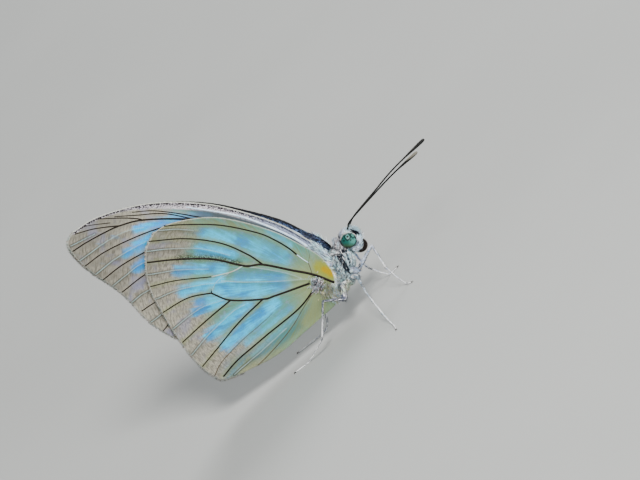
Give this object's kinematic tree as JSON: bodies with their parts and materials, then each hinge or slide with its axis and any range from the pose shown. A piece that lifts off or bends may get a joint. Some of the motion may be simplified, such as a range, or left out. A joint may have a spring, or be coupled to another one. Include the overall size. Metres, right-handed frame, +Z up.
{
  "type": "common wanderer butterfly",
  "caption": "Life-size male common wanderer butterfly standing on its legs with its blue-grey, dark-veined wings closed upright over its back.",
  "frame": {"origin": "on the floor, under the middle of the model's box", "axes": "+X towards the head, +Y to the butterfly's left, +Z up from the floor that the feet stand on"},
  "size_m": [0.0462, 0.0238, 0.0358],
  "materials": {
    "body_hair": "bluish white hair with dark grey streaks",
    "abdomen_scales": "grey scales, paler below",
    "eye": "glossy teal green with dark spots",
    "dark_cuticle": "satin brown black",
    "forewing_scales": "dusted grey scales with dark veins and bright blue patches",
    "hindwing_scales": "pale blue scales with dark veins, grey margins and a yellow patch at the root",
    "leg_scales": "bluish white scales"
  },
  "bodies": {
    "root": {"head": "body_hair", "thorax": "body_hair", "abdomen": "abdomen_scales", "eye_left": "eye", "eye_right": "eye", "palp_left": "body_hair", "palp_right": "body_hair", "proboscis": "dark_cuticle", "antenna_left": "dark_cuticle", "antenna_right": "dark_cuticle", "forewing_left": "forewing_scales", "forewing_right": "forewing_scales", "hindwing_left": "hindwing_scales", "hindwing_right": "hindwing_scales", "leg_fore_left": "leg_scales", "leg_fore_right": "leg_scales", "leg_mid_left": "leg_scales", "leg_mid_right": "leg_scales", "leg_hind_left": "leg_scales", "leg_hind_right": "leg_scales"}
  },
  "joints": []
}
